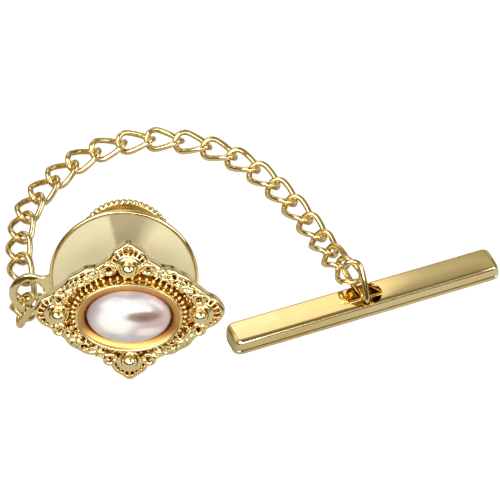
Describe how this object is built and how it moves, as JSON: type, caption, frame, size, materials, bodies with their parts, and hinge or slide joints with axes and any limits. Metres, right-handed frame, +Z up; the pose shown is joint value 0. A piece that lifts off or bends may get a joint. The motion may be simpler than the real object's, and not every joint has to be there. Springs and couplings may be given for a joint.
{
  "type": "tie tack",
  "caption": "Jewelled lozenge tie tack: a pearl-set head on a post, a ball-lock clutch that grips it, and a curb safety chain with a toggle bar.",
  "frame": {"origin": "middle of the underside of the box round the whole tie tack as it lies on a table", "axes": "+X to the right along the longer side, +Y towards the back of the chain loop, +Z up; the tack pin leans back towards +Y with its jewelled head towards -Y"},
  "size_m": [0.037, 0.0278, 0.0123],
  "materials": {
    "polished_gold": "polished gold plate",
    "spun_gold": "spun, finely brushed gold plate",
    "inner_brass": "plain turned brass",
    "plated_post": "gold-flashed steel",
    "steel": "bright steel",
    "pearl": "nacreous pearl lacquer",
    "cement": "clear jewellery cement"
  },
  "bodies": {
    "clutch": {"clutch_disc": "spun_gold", "clutch_housing": "polished_gold", "housing_cap": "polished_gold", "locking_spring": "steel"},
    "knob": {"pull_knob": "polished_gold", "ball_cage": "inner_brass"},
    "ball_1": {"lock_ball_1": "steel"},
    "ball_2": {"lock_ball_2": "steel"},
    "ball_3": {"lock_ball_3": "steel"},
    "post": {"tack_post": "plated_post"},
    "head": {"post_pad": "polished_gold", "ornament_frame": "polished_gold", "bezel_cup": "polished_gold", "cement_bed": "cement", "pearl_cabochon": "pearl"},
    "ear_link": {"ear_link": "polished_gold"},
    "curb_link_01": {"curb_link_01": "polished_gold"},
    "curb_link_02": {"curb_link_02": "polished_gold"},
    "curb_link_03": {"curb_link_03": "polished_gold"},
    "curb_link_04": {"curb_link_04": "polished_gold"},
    "curb_link_05": {"curb_link_05": "polished_gold"},
    "curb_link_06": {"curb_link_06": "polished_gold"},
    "curb_link_07": {"curb_link_07": "polished_gold"},
    "curb_link_08": {"curb_link_08": "polished_gold"},
    "curb_link_09": {"curb_link_09": "polished_gold"},
    "curb_link_10": {"curb_link_10": "polished_gold"},
    "curb_link_11": {"curb_link_11": "polished_gold"},
    "curb_link_12": {"curb_link_12": "polished_gold"},
    "curb_link_13": {"curb_link_13": "polished_gold"},
    "curb_link_14": {"curb_link_14": "polished_gold"},
    "curb_link_15": {"curb_link_15": "polished_gold"},
    "curb_link_16": {"curb_link_16": "polished_gold"},
    "curb_link_17": {"curb_link_17": "polished_gold"},
    "curb_link_18": {"curb_link_18": "polished_gold"},
    "curb_link_19": {"curb_link_19": "polished_gold"},
    "curb_link_20": {"curb_link_20": "polished_gold"},
    "curb_link_21": {"curb_link_21": "polished_gold"},
    "curb_link_22": {"curb_link_22": "polished_gold"},
    "bar_link": {"bar_link": "polished_gold"},
    "toggle_bar": {"bar_shell": "polished_gold", "bar_back_plate": "polished_gold", "bar_retaining_pin": "polished_gold"}
  },
  "joints": [
    {"name": "knob_pull", "type": "slide", "parent": "clutch", "child": "knob", "axis": [0, 0.9443, -0.329], "range_m": [0, 0.001], "stiffness_N_per_m": 80, "springref_m": -0.0006, "deforming": ["locking_spring"]},
    {"name": "ball_1_slide", "type": "slide", "parent": "knob", "child": "ball_1", "axis": [0, 0.329, 0.9443], "range_m": [0, 0.00022]},
    {"name": "ball_2_slide", "type": "slide", "parent": "knob", "child": "ball_2", "axis": [-0.866, -0.1645, -0.4722], "range_m": [0, 0.00022]},
    {"name": "ball_3_slide", "type": "slide", "parent": "knob", "child": "ball_3", "axis": [0.866, -0.1645, -0.4722], "range_m": [0, 0.00022]},
    {"name": "post_slide", "type": "slide", "parent": "clutch", "child": "post", "axis": [0, -0.9443, 0.329], "range_m": [0, 0.0102]},
    {"name": "head_spin", "type": "hinge", "parent": "post", "child": "head", "pos_m": [-0.0094, -0.01009, 0.00662], "axis": [0, -0.9443, 0.329], "continuous": true},
    {"name": "ear_link_swing", "type": "hinge", "parent": "clutch", "child": "ear_link", "pos_m": [-0.01634, -0.00688, 0.0027], "axis": [1, 0, 0], "range_deg": [-58, 45]},
    {"name": "curb_01_flex", "type": "hinge", "parent": "ear_link", "child": "curb_link_01", "pos_m": [-0.01694, -0.00636, 0.00146], "axis": [0, 0, 1], "range_deg": [-20, 20]},
    {"name": "curb_02_flex", "type": "hinge", "parent": "curb_link_01", "child": "curb_link_02", "pos_m": [-0.01696, -0.00422, 0.00089], "axis": [0.9969, 0.0789, 0], "range_deg": [-20, 20]},
    {"name": "curb_03_flex", "type": "hinge", "parent": "curb_link_02", "child": "curb_link_03", "pos_m": [-0.01713, -0.00204, 0.00058], "axis": [0, 0, -1], "range_deg": [-16, 20]},
    {"name": "curb_04_flex", "type": "hinge", "parent": "curb_link_03", "child": "curb_link_04", "pos_m": [-0.01748, 0.00015, 0.00064], "axis": [-1, -0.0058, 0], "range_deg": [-20, 20]},
    {"name": "curb_05_flex", "type": "hinge", "parent": "curb_link_04", "child": "curb_link_05", "pos_m": [-0.01749, 0.00236, 0.00064], "axis": [0, 0, 1], "range_deg": [-14, 20]},
    {"name": "curb_06_flex", "type": "hinge", "parent": "curb_link_05", "child": "curb_link_06", "pos_m": [-0.01721, 0.00456, 0.00064], "axis": [0.9243, -0.3816, 0], "range_deg": [-20, 20]},
    {"name": "curb_07_flex", "type": "hinge", "parent": "curb_link_06", "child": "curb_link_07", "pos_m": [-0.01636, 0.00661, 0.00064], "axis": [0, 0, -1], "range_deg": [-20, 11]},
    {"name": "curb_08_flex", "type": "hinge", "parent": "curb_link_07", "child": "curb_link_08", "pos_m": [-0.01515, 0.00846, 0.00064], "axis": [-0.766, 0.6428, 0], "range_deg": [-20, 20]},
    {"name": "curb_09_flex", "type": "hinge", "parent": "curb_link_08", "child": "curb_link_09", "pos_m": [-0.01372, 0.01015, 0.00064], "axis": [0, 0, 1], "range_deg": [-10, 20]},
    {"name": "curb_10_flex", "type": "hinge", "parent": "curb_link_09", "child": "curb_link_10", "pos_m": [-0.01199, 0.01153, 0.00064], "axis": [0.4172, -0.9088, 0], "range_deg": [-20, 20]},
    {"name": "curb_11_flex", "type": "hinge", "parent": "curb_link_10", "child": "curb_link_11", "pos_m": [-0.00998, 0.01245, 0.00064], "axis": [0, 0, -1], "range_deg": [-20, 8]},
    {"name": "curb_12_flex", "type": "hinge", "parent": "curb_link_11", "child": "curb_link_12", "pos_m": [-0.0078, 0.01288, 0.00064], "axis": [0.0766, 0.9971, 0], "range_deg": [-20, 20]},
    {"name": "curb_13_flex", "type": "hinge", "parent": "curb_link_12", "child": "curb_link_13", "pos_m": [-0.0056, 0.01271, 0.00064], "axis": [0, 0, 1], "range_deg": [-9, 20]},
    {"name": "curb_14_flex", "type": "hinge", "parent": "curb_link_13", "child": "curb_link_14", "pos_m": [-0.00348, 0.01206, 0.00064], "axis": [-0.4872, -0.8733, 0], "range_deg": [-20, 20]},
    {"name": "curb_15_flex", "type": "hinge", "parent": "curb_link_14", "child": "curb_link_15", "pos_m": [-0.00154, 0.01098, 0.00064], "axis": [0, 0, -1], "range_deg": [-20, 12]},
    {"name": "curb_16_flex", "type": "hinge", "parent": "curb_link_15", "child": "curb_link_16", "pos_m": [0.00018, 0.00959, 0.00064], "axis": [0.762, 0.6476, 0], "range_deg": [-20, 20]},
    {"name": "curb_17_flex", "type": "hinge", "parent": "curb_link_16", "child": "curb_link_17", "pos_m": [0.00161, 0.00791, 0.00063], "axis": [0, 0, 1], "range_deg": [-16, 20]},
    {"name": "curb_18_flex", "type": "hinge", "parent": "curb_link_17", "child": "curb_link_18", "pos_m": [0.00289, 0.0061, 0.00065], "axis": [-0.8585, -0.5127, 0], "range_deg": [-20, 20]},
    {"name": "curb_19_flex", "type": "hinge", "parent": "curb_link_18", "child": "curb_link_19", "pos_m": [0.00402, 0.0042, 0.00068], "axis": [0, 0, -1], "range_deg": [-20, 17]},
    {"name": "curb_20_flex", "type": "hinge", "parent": "curb_link_19", "child": "curb_link_20", "pos_m": [0.005, 0.00222, 0.00086], "axis": [0.9353, 0.3539, 0], "range_deg": [-20, 20]},
    {"name": "curb_21_flex", "type": "hinge", "parent": "curb_link_20", "child": "curb_link_21", "pos_m": [0.00577, 0.00019, 0.00126], "axis": [0, 0, 1], "range_deg": [-20, 20]},
    {"name": "curb_22_flex", "type": "hinge", "parent": "curb_link_21", "child": "curb_link_22", "pos_m": [0.00659, -0.00176, 0.00193], "axis": [-0.8837, -0.468, 0], "range_deg": [-11, 20]},
    {"name": "bar_link_swing", "type": "hinge", "parent": "curb_link_22", "child": "bar_link", "pos_m": [0.00781, -0.00381, 0.00249], "axis": [0.6501, 0.7556, -0.0803], "range_deg": [-22, 18]},
    {"name": "bar_toggle", "type": "hinge", "parent": "bar_link", "child": "toggle_bar", "pos_m": [0.00836, -0.00443, 0.00111], "axis": [-0.3746, 0.9272, 0], "range_deg": [-32, 9]}
  ],
  "couplings": [
    {"joint": "ball_1_slide", "follows": "knob_pull", "ratio": 0.21256},
    {"joint": "ball_2_slide", "follows": "knob_pull", "ratio": 0.21256},
    {"joint": "ball_3_slide", "follows": "knob_pull", "ratio": 0.21256}
  ]
}
